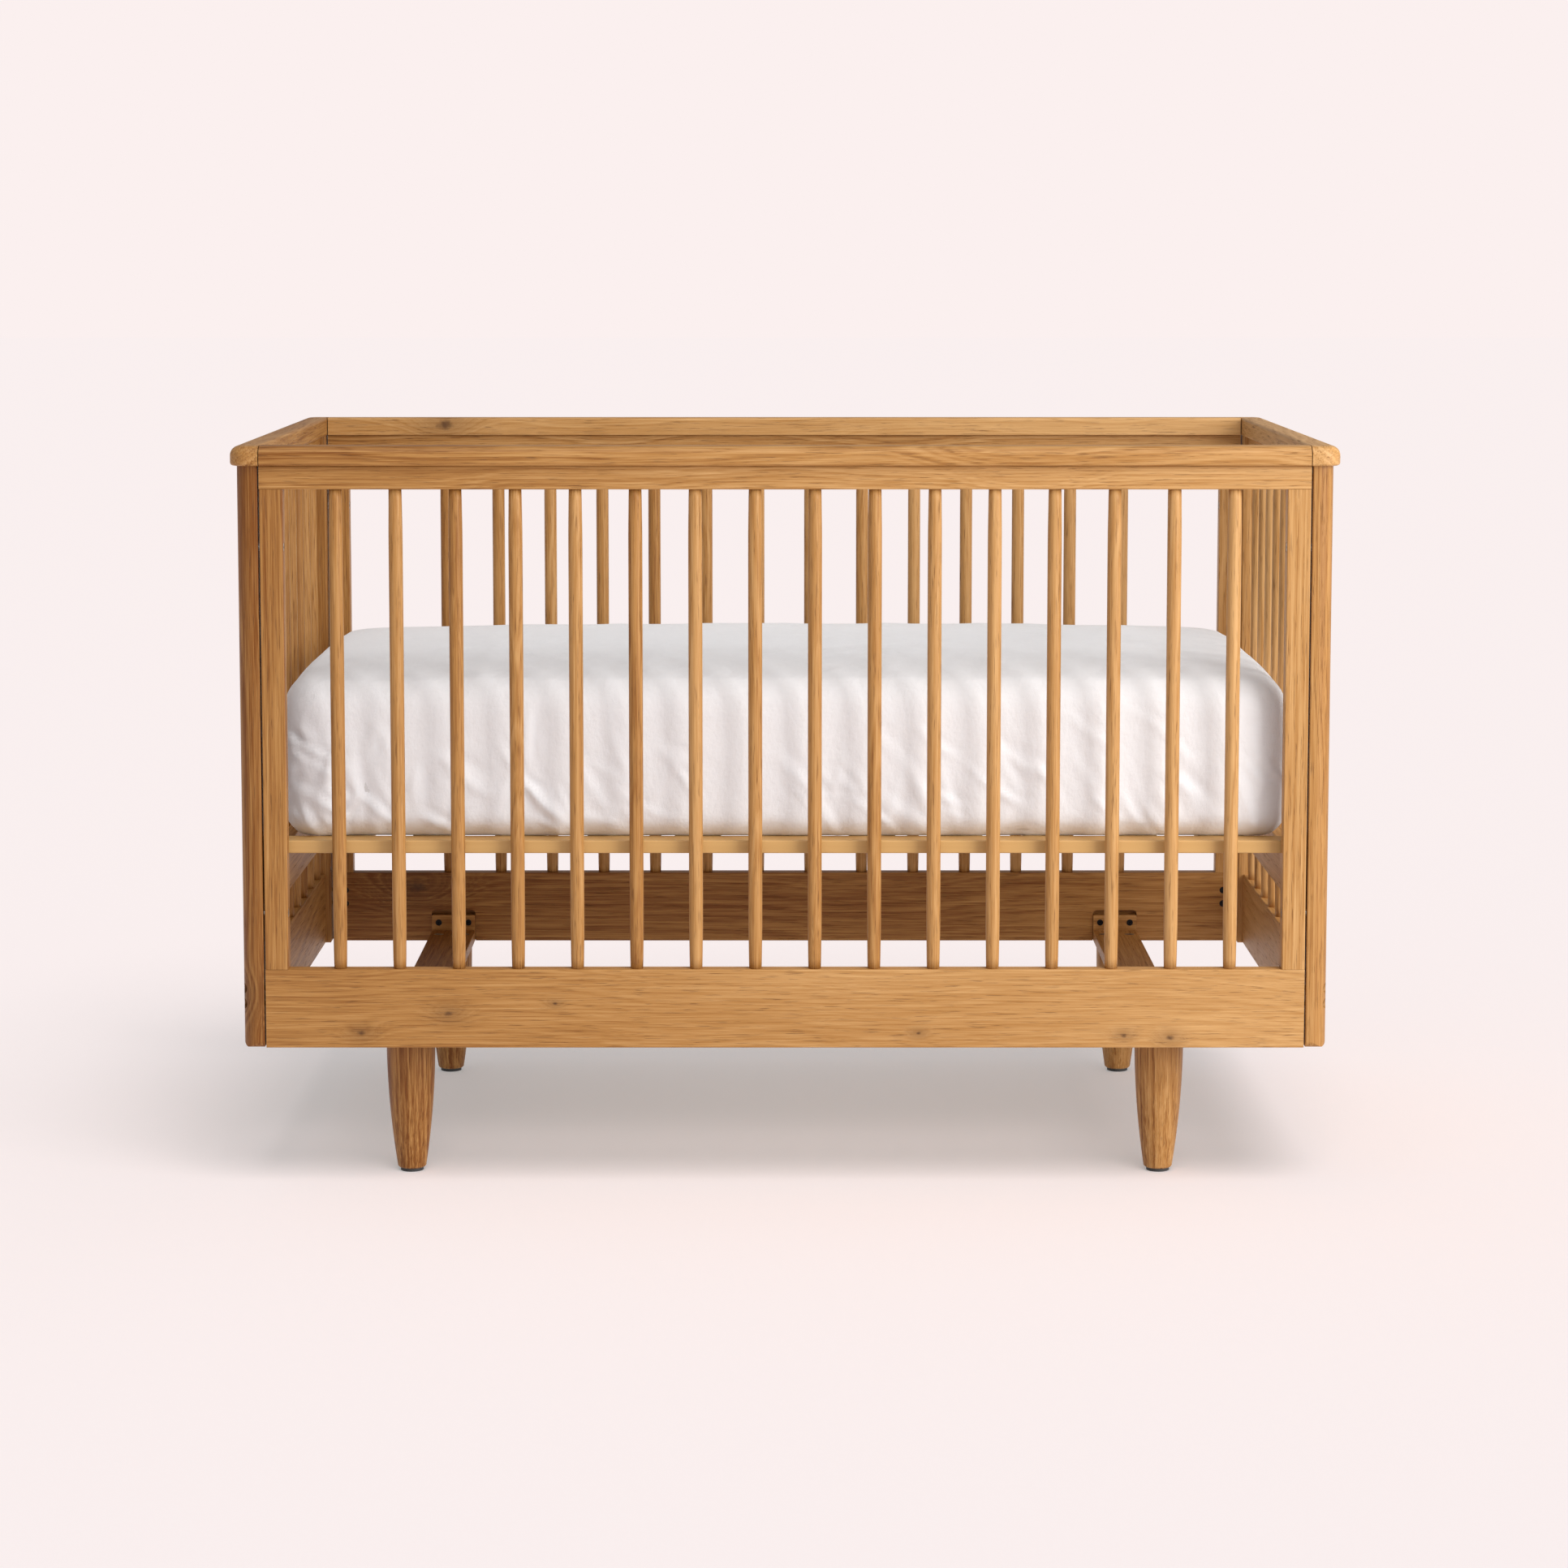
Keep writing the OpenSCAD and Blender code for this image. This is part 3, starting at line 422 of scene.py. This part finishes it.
def spindles(name, first, last, count, length, seed, material):
    """A row of turned spindles from first to last, thinner where they meet the rails."""
    shape = Shape(name)
    start = shape.size("First spindle", "Vector", first)
    end = shape.size("Last spindle", "Vector", last)
    number = shape.size("Number", "Int", count)
    height = shape.size("Length", "Float", length)
    middle_r = shape.size("Middle radius", "Float", spindle_middle_r)
    end_r = shape.size("End radius", "Float", spindle_end_r)
    taper = shape.size("Taper", "Float", spindle_taper)
    draw = shape.size("Seed", "Int", seed)

    row = shape.node("GeometryNodeMeshLine", {"mode": "END_POINTS", "count_mode": "TOTAL"},
                     {"Count": number, "Start Location": start, "Offset": end})
    bar = shape.node("GeometryNodeMeshCylinder", {"fill_type": "NGON"},
                     {"Vertices": 28, "Side Segments": 44, "Radius": 1.0, "Depth": height})
    place = shape.node("GeometryNodeInputPosition")
    z = shape.node("ShaderNodeSeparateXYZ", {}, {0: place}, 2)
    half = shape.math("MULTIPLY", height, 0.5)
    from_end = shape.math("SUBTRACT", half, shape.math("ABSOLUTE", z))
    share = shape.node("ShaderNodeMapRange", {"interpolation_type": "SMOOTHERSTEP"},
                       {"Value": from_end, "From Max": taper, "To Min": end_r, "To Max": middle_r})
    # the last of the bar turns in by a hair, so that the joint with the rail reads as a line
    ease = shape.node("ShaderNodeMapRange", {"interpolation_type": "SMOOTHSTEP"},
                      {"Value": from_end, "From Max": 0.0015, "To Min": 0.965, "To Max": 1.0})
    radius = shape.math("MULTIPLY", share, ease)
    girth = shape.node("ShaderNodeCombineXYZ", {}, {0: radius, 1: radius, 2: 1.0})
    scaled = shape.node("ShaderNodeVectorMath", {"operation": "MULTIPLY"}, {0: place, 1: girth})
    turned = shape.node("GeometryNodeSetPosition", {}, {"Geometry": bar, "Position": scaled})
    smooth = shape.node("GeometryNodeSetShadeSmooth", {}, {"Geometry": turned})
    spin = shape.node("FunctionNodeRandomValue", {"data_type": "FLOAT"},
                      {"Min": 0.0, "Max": math.tau, "Seed": draw}, 1)
    turn = shape.node("ShaderNodeCombineXYZ", {}, {2: spin})
    placed = shape.node("GeometryNodeInstanceOnPoints", {},
                        {"Points": row, "Instance": smooth, "Rotation": turn})
    tint = shape.node("FunctionNodeRandomValue", {"data_type": "FLOAT"},
                      {"Min": 0.0, "Max": 1.0, "Seed": shape.math("ADD", draw, 50)}, 1)
    marked = shape.node("GeometryNodeStoreNamedAttribute", {"data_type": "FLOAT", "domain": "INSTANCE"},
                        {"Geometry": placed, "Name": "bar", "Value": tint})
    return shape.mesh(name, marked, material)


rail_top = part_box("front_bottom_rail")[1].z
rail_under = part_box("front_top_rail")[0].z
spindle_z = (rail_top + rail_under) / 2
spindle_length = rail_under - rail_top


def spindle_row(node, seed, tone):
    """Stands the turned spindles of one panel or end frame where the CAD has them."""
    low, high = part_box(node)
    half = (high - low) / 2
    middle = (high + low) / 2
    lengthwise = half.x > half.y
    reach = (half.x if lengthwise else half.y) - spindle_middle_r
    away = Vector((reach, 0.0, 0.0)) if lengthwise else Vector((0.0, reach, 0.0))
    centre = Vector((middle.x, middle.y, spindle_z))
    count = long_row_count if lengthwise else end_row_count
    wood = oak(node + "_oak", "Z", seed, tone=tone, each="bar", pith=(0.04, 0.03), contrast=0.85)
    piece = spindles("turned_" + node, centre - away, centre + away, count, spindle_length, seed, wood)
    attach(piece, "frame")
    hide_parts(node)


spindle_row("left_end_spindles", 41, 0.02)
spindle_row("right_end_spindles", 42, 0.02)


# ---- Front and rear panels ----
# Each long panel is a deep bottom rail and a slim top rail with a stile at both ends and
# sixteen spindles between. It bolts to the posts, and a thin shadow line shows at the joint.
front_knots = [(-0.547, 0.200, 0.0052), (-0.434, 0.226, 0.0060), (-0.297, 0.239, 0.0028),
               (0.172, 0.200, 0.0034), (0.437, 0.197, 0.0042), (0.497, 0.194, 0.0050)]
# Painted light: the front bottom rail is painted paler to the right more strongly than the rest, for
# the soft box's light falling off towards the left.
coat("front_bottom_rail", oak("front_bottom_rail_oak", "X", 51, tone=0.03, painted_light_drift=0.28,
                              pith=(0.06, 0.13), contrast=0.8, knots=front_knots))
# Painted shade: the rear bottom rail is painted darker for the shade it stands in under the mattress.
coat("rear_bottom_rail", oak("rear_bottom_rail_oak", "X", 52, tone=-0.3,
                             pith=(0.05, 0.02), contrast=1.1, knots=[(-0.545, 0.262, 0.015)]))
# Painted light: the front top rail is painted paler to the right more strongly than the rest, for the
# soft box's light falling off towards the left.
coat("front_top_rail", oak("front_top_rail_oak", "X", 53, tone=0.05, painted_light_drift=0.26,
                           pith=(0.03, 0.06), contrast=1.15))
coat("rear_top_rail", oak("rear_top_rail_oak", "X", 54, tone=0.02, pith=(0.03, 0.06), contrast=1.1))
for seed, corner in enumerate(("left_front", "right_front", "left_rear", "right_rear")):
    coat(corner + "_stile", oak(corner + "_stile_oak", "Z", 55 + seed, tone=-0.04, pith=(0.07, 0.3)))
spindle_row("front_spindles", 61, 0.03)
spindle_row("rear_spindles", 62, 0.0)


# ---- Cap rails ----
# Four thicker oak rails lie on the frames. The end caps run the full depth with rounded corners,
# and the long caps butt between them; all stand out past the posts with a full roundover.
coat("left_end_cap", oak("left_end_cap_oak", "Y", 71, tone=0.04, pith=(0.05, 0.02)))
coat("right_end_cap", oak("right_end_cap_oak", "Y", 72, tone=0.04, pith=(0.04, 0.02)))
# Painted light: the front cap is painted much paler towards the right, a painted highlight for the soft
# box's gloss on its right end.
coat("front_cap", oak("front_cap_oak", "X", 73, tone=-0.08, painted_light_drift=0.36, pith=(0.08, 0.03)))
coat("rear_cap", oak("rear_cap_oak", "X", 74, tone=0.2, pith=(0.06, 0.02), contrast=0.8,
                     knots=[(-0.497, 0.949, 0.0120)]))
coat("cap_dowels", oak("dowel_wood", "Z", 75, tone=0.2))


# ---- Bolts, inserts and cams ----
# Zinc-plated socket bolts and threaded inserts hold the panels, cam locks of bright cast zinc
# hold the braces, and the bolts that show from inside the crib are blackened steel.
def plated(name, colour, rough):
    finish = Finish(name)
    grain = finish.place.noise(900.0, 3.0)
    cloud = finish.place.noise(120.0, 2.0)
    darker = tuple(0.6 * c for c in colour)
    mixed = cloud.mixed((*colour, 1.0), (*darker, 1.0))
    return finish.fit(Base_Color=mixed, Metallic=1.0, Roughness=grain * 0.22 + rough,
                      height=grain, depth=0.00004)


zinc = plated("bright_zinc", (0.62, 0.61, 0.58), 0.24)
blackened = plated("blackened_steel", (0.035, 0.035, 0.038), 0.34)
for node in ("leg_bolts", "leg_inserts", "panel_bolts", "panel_inserts", "block_inserts", "cam_locks",
             "cam_dowels", "base_inserts", "slat_screws", "base_board_screws"):
    coat(node, zinc)
for node in ("corner_bolts", "barrel_nuts", "block_bolts", "base_bolts"):
    coat(node, blackened)


# ---- Mattress base ----
# Two long boards with a smooth tan finish, deep oak boards at the ends, and pine slats screwed
# into the long boards' rabbets. The end boards bolt to the posts at one of three heights.
def tan_board(name, seed):
    finish = Finish(name)
    wood = finish.place.times(3.0, 40.0, 160.0)
    moved = wood.node("VectorMath", {"operation": "ADD"}, {0: wood, 1: (seed, 0.0, 0.0)})
    streak = moved.noise(1.0, 3.0)
    speck = finish.place.noise(900.0, 2.0)
    colour = streak.mixed((0.60, 0.36, 0.128, 1.0), (0.52, 0.295, 0.095, 1.0))
    return finish.fit(Base_Color=colour, Roughness=speck * 0.12 + 0.42,
                      height=streak * 0.4 + speck * 0.2, depth=0.0001)


def pine(name, seed):
    finish = Finish(name)
    parts = finish.place.split()
    bar = (parts[0] * 8.7).whole()
    wood = finish.place.joined(parts[1] * 1.5 + bar * 0.37 + seed, parts[0] * 60.0, parts[2] * 60.0)
    ring = wood.noise(1.0, 3.0)
    speck = finish.place.noise(700.0, 2.0)
    stops = [(0.3, (0.42, 0.24, 0.10)), (0.5, (0.66, 0.46, 0.24)), (0.75, (0.76, 0.57, 0.33))]
    colour = ring.node("ValToRGB", {"stops": stops}, {"Fac": ring})
    return finish.fit(Base_Color=colour, Roughness=speck * 0.15 + 0.5,
                      height=ring * 0.5 + speck * 0.3, depth=0.0002)


coat("base_front_board", tan_board("front_board_finish", 1.0))
coat("base_rear_board", tan_board("rear_board_finish", 5.0))
coat("base_slats", pine("pine_slats", 2.0))
for seed, side in enumerate(("left", "right")):
    name = side + "_base_end_board"
    coat(name, oak(name + "_oak", "Y", 81 + seed, tone=-0.02))


# ---- Mattress ----
# A foam block in a quilted cover, crowned on top, its sides bulging a little between rounded
# corners. It is loose in the crib and lies on the slats by its own weight.
mattress_low, mattress_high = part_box("mattress")
sheet_low, sheet_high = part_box("fitted_sheet")
plan_corner_r = 0.046
top_edge_r = 0.030
low_edge_r = 0.016
swell_frames = 20
swell_cap = 0.004
voxel = 0.009


def smooth_step(start, end, value):
    share = min(1.0, max(0.0, (value - start) / (end - start)))
    return share * share * (3.0 - 2.0 * share)


def rounded_pad(name, half, low_z, high_z, corner_r, top_r, low_r):
    """A closed pad of even small faces, with rounded corners and edges."""
    mesh = bpy.data.meshes.new(name)
    shell = bmesh.new()
    bmesh.ops.create_cube(shell, size=2.0)
    for vertex in shell.verts:
        vertex.co.x *= half.x
        vertex.co.y *= half.y
        vertex.co.z = high_z if vertex.co.z > 0 else low_z
    upright = [e for e in shell.edges if abs(e.verts[0].co.z - e.verts[1].co.z) > 0.01]
    bmesh.ops.bevel(shell, geom=upright, offset=corner_r, segments=10, affect="EDGES", profile=0.5)
    for level, radius in ((high_z, top_r), (low_z, low_r)):
        rim = [e for e in shell.edges
               if all(abs(v.co.z - level) < 1e-5 for v in e.verts) and len(e.link_faces) == 2
               and any(abs(f.normal.z) < 0.5 for f in e.link_faces)]
        bmesh.ops.bevel(shell, geom=rim, offset=radius, segments=7, affect="EDGES", profile=0.5)
    shell.to_mesh(mesh)
    shell.free()
    pad = bpy.data.objects.new(name, mesh)
    bpy.context.scene.collection.objects.link(pad)
    remesh = pad.modifiers.new("even_faces", "REMESH")
    remesh.mode = "VOXEL"
    remesh.voxel_size = voxel
    bake(pad)
    return pad


def bake(piece):
    """Applies the piece's modifiers."""
    graph = bpy.context.evaluated_depsgraph_get()
    result = bpy.data.meshes.new_from_object(piece.evaluated_get(graph), depsgraph=graph)
    piece.modifiers.clear()
    old = piece.data
    piece.data = result
    bpy.data.meshes.remove(old)


def swell(pad):
    """Blows the pad up a little, as cloth does round a filling, and caps how far it goes."""
    scene = bpy.context.scene
    rest = [v.co.copy() for v in pad.data.vertices]
    cloth = pad.modifiers.new("filling", "CLOTH")
    cloth.settings.use_pressure = True
    cloth.settings.uniform_pressure_force = 4.0
    cloth.settings.effector_weights.gravity = 0.0
    cloth.settings.quality = 4
    cloth.collision_settings.use_self_collision = False
    cloth.point_cache.frame_start = 1
    cloth.point_cache.frame_end = swell_frames
    for number in range(1, swell_frames + 1):
        scene.frame_set(number)
    bake(pad)
    scene.frame_set(1)
    for vertex, home in zip(pad.data.vertices, rest):
        away = vertex.co - home
        if away.length > swell_cap:
            vertex.co = home + away * (swell_cap / away.length)


pad_half = Vector((mattress_high.x - 0.004, mattress_high.y - 0.009, 0.0))
pad_low = mattress_low.z + 0.002
pad_high = mattress_high.z - 0.022
pad = rounded_pad("mattress_pad", pad_half, pad_low, pad_high, plan_corner_r, top_edge_r, low_edge_r)
swell(pad)

crown = 0.029
side_bulge = 0.003
edge_lift = 0.010
edge_lift_reach = 0.020


def settle(co):
    """Crowns the top, bulges the sides, and lifts the rim of the underside off the boards."""
    across = 1.0 - min(1.0, abs(co.x / pad_half.x)) ** 2.4
    over = 1.0 - min(1.0, abs(co.y / pad_half.y)) ** 2.6
    up = smooth_step(pad_low + 0.08, pad_high, co.z)
    rise = crown * (0.5 + 0.5 * across ** 0.7) * over ** 0.6 * up
    from_edge = min(pad_half.x - abs(co.x), pad_half.y - abs(co.y))
    rim = 1.0 - smooth_step(0.0, edge_lift_reach, from_edge)
    rise += edge_lift * rim * (1.0 - smooth_step(pad_low, pad_low + 0.04, co.z))
    height = (co.z - pad_low) / (pad_high - pad_low)
    belly = side_bulge * math.sin(math.pi * min(1.0, max(0.0, height)))
    reach = Vector((co.x / pad_half.x, co.y / pad_half.y, 0.0))
    edge = max(abs(reach.x), abs(reach.y)) ** 6
    return Vector((co.x + belly * reach.x * edge, co.y + belly * reach.y * edge,
                   max(mattress_low.z + 0.0003, co.z + rise)))


for vertex in pad.data.vertices:
    vertex.co = settle(vertex.co)


# ---- Fitted sheet ----
# A white cotton fitted sheet: the top and four sides are one cloth, pulled over the mattress and
# turned in underneath, with soft slanting folds where it is pulled and an elastic hem below.
sheet_gap = 0.0018
turn_in = 0.075
hem_depth = 0.022
hem_rise = 0.009
gather = 0.011
crease_seed = 12
front_creases = 96
end_creases = 22


def draw_creases(count, half, crowding, seed):
    """Sharp folds on one side: each is (place, height, tilt, half length, width, depth, bend).

    A crowding above 1 draws the folds towards the low end of the side.
    """
    draw = random.Random(seed)
    folds = []
    for _ in range(count):
        along = half * (2.0 * draw.random() ** crowding - 1.0)
        up = pad_low + 0.012 + 0.125 * draw.random() ** 1.4
        tilt = draw.uniform(-65.0, -12.0) if draw.random() < 0.8 else draw.uniform(0.0, 35.0)
        depth = draw.uniform(0.0012, 0.0040) * (0.75 - 0.35 * along / half)
        folds.append((along, up, math.radians(tilt), draw.uniform(0.022, 0.085),
                      draw.uniform(0.0042, 0.0085), depth, draw.uniform(-3.5, 3.5)))
    return folds


def folded(along, up, folds):
    """How far the folds lift the cloth at each point of a side: a crest with a dip beside it."""
    lift = np.zeros_like(along)
    for place, height, tilt, reach, width, depth, bend in folds:
        right = along - place
        rise = up - height
        length = right * math.sin(tilt) + rise * math.cos(tilt)
        away = (right * math.cos(tilt) - rise * math.sin(tilt) + bend * length ** 2) / width
        fade = np.clip(1.0 - (length / reach) ** 2, 0.0, 1.0) ** 1.5
        lift += depth * fade * (np.exp(-away ** 2) - 0.55 * np.exp(-(away - 1.7) ** 2))
    return lift


def waves(points, scale, seed):
    """Smooth noise at each point, from -1 to 1."""
    return np.array([noise.noise(Vector(p * scale) + Vector((seed, seed, seed))) for p in points])


def pull_cloth(piece):
    """Moves the cloth off the mattress by its folds, waves and gathers."""
    count = len(piece.data.vertices)
    flat = np.empty(count * 3, np.float32)
    piece.data.vertices.foreach_get("co", flat)
    points = flat.reshape(-1, 3).astype(float)
    normals = np.array([v.normal for v in piece.data.vertices])
    lift = np.full(count, 0.0008)
    sides = ((0, -1, front_creases, 1.5), (0, 1, front_creases // 2, 1.0),
             (1, -1, end_creases, 1.0), (1, 1, end_creases, 1.0))
    for number, (axis, way, folds, crowding) in enumerate(sides):
        facing = np.clip((normals[:, 1 - axis] * way - 0.35) / 0.45, 0.0, 1.0)
        half = pad_half.x if axis == 0 else pad_half.y
        drawn = draw_creases(folds, half, crowding, crease_seed + number)
        lift += facing * folded(points[:, axis], points[:, 2], drawn)
    on_side = 1.0 - np.abs(normals[:, 2])
    lift += on_side * waves(points, np.array((9.0, 9.0, 5.0)), 3.0) * 0.0016
    lift += waves(points, np.array((4.0, 4.0, 7.0)), 9.0) * 0.0011
    on_top = np.clip(normals[:, 2], 0.0, 1.0) ** 4
    crosswise = waves(points, np.array((7.0, 1.2, 1.0)), 5.0)
    lift += on_top * (1.0 - np.abs(crosswise)) ** 4 * 0.0016
    from_edge = np.minimum(pad_half.x - np.abs(points[:, 0]), pad_half.y - np.abs(points[:, 1]))
    below = np.clip(-normals[:, 2] * 2.0 - 1.0, 0.0, 1.0)
    near_hem = np.clip((from_edge - turn_in + hem_depth) / hem_depth, 0.0, 1.0)
    around = points[:, 0] + points[:, 1]
    lift += below * near_hem * np.sin(around * math.tau / gather) * 0.0009
    moved = points + normals * lift[:, None]
    # the hem of each side hangs a little unevenly
    hem = np.clip(1.0 - (moved[:, 2] - pad_low) / 0.03, 0.0, 1.0) * np.clip(on_side * 2.0, 0.0, 1.0)
    uneven = np.clip(waves(points, np.array((21.0, 21.0, 0.0)), 7.0) + 0.15, 0.0, 1.0)
    moved[:, 2] += hem * uneven * hem_rise
    moved[:, 2] = np.clip(moved[:, 2], mattress_low.z - 0.0001, sheet_high.z + 0.010)
    piece.data.vertices.foreach_set("co", moved.astype(np.float32).ravel())
    piece.data.update()


sheet_mesh = pad.data.copy()
skin_normals = [v.normal.copy() for v in sheet_mesh.vertices]
for vertex, normal in zip(sheet_mesh.vertices, skin_normals):
    vertex.co += normal * sheet_gap
shell = bmesh.new()
shell.from_mesh(sheet_mesh)
under = [v for v in shell.verts if v.normal.z < -0.6
         and min(pad_half.x - abs(v.co.x), pad_half.y - abs(v.co.y)) > turn_in]
bmesh.ops.delete(shell, geom=under, context="VERTS")
shell.to_mesh(sheet_mesh)
shell.free()
sheet = bpy.data.objects.new("cotton_fitted_sheet", sheet_mesh)
bpy.context.scene.collection.objects.link(sheet)
for polygon in sheet.data.polygons:
    polygon.use_smooth = True
smoother = sheet.modifiers.new("finer", "SUBSURF")
smoother.levels = smoother.render_levels = 1
bake(sheet)
pull_cloth(sheet)


def cotton(name, colour, weave_scale, relief, crinkle):
    finish = Finish(name)
    x, y, z = finish.place.split()
    warp = ((x + y) * weave_scale).sine()
    weft = ((z + (x - y) * 0.5) * weave_scale).sine()
    slub = finish.place.times(60.0, 60.0, 240.0).noise(1.0, 3.0)
    soft = finish.place.noise(7.0, 3.0)
    tint = soft * 0.5 + slub * 0.5
    shade = tuple(c * 0.93 for c in colour)
    mixed = tint.mixed((*shade, 1.0), (*colour, 1.0))
    crumple = finish.place.times(1.0, 1.0, 0.6).noise(38.0, 4.0, 0.6)
    height = warp * weft * 0.10 + slub * 0.3 + crumple * crinkle
    return finish.fit(Base_Color=mixed, Roughness=slub * 0.1 + 0.82, Sheen_Weight=0.25,
                      Sheen_Roughness=0.5, Specular_IOR_Level=0.2, height=height, depth=relief)


sheet.data.materials.clear()
sheet.data.materials.append(cotton("white_cotton", (0.905, 0.920, 0.950), 6300.0, 0.0005, 5.0))
pad.data.materials.clear()
pad.data.materials.append(cotton("mattress_ticking", (0.74, 0.74, 0.75), 2600.0, 0.0008, 1.0))
for polygon in pad.data.polygons:
    polygon.use_smooth = True

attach(pad, "mattress")
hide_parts("mattress")
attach(sheet, "mattress")
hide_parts("fitted_sheet")


# ---- Light on the pieces ----
# The soft box lights every piece of the crib but not the floor, so that its shadow stays pale.
for piece in list(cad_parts.values()) + [o for o in bpy.data.objects if o.type == "MESH"]:
    if piece is not floor and piece.name not in lit.objects:
        lit.objects.link(piece)
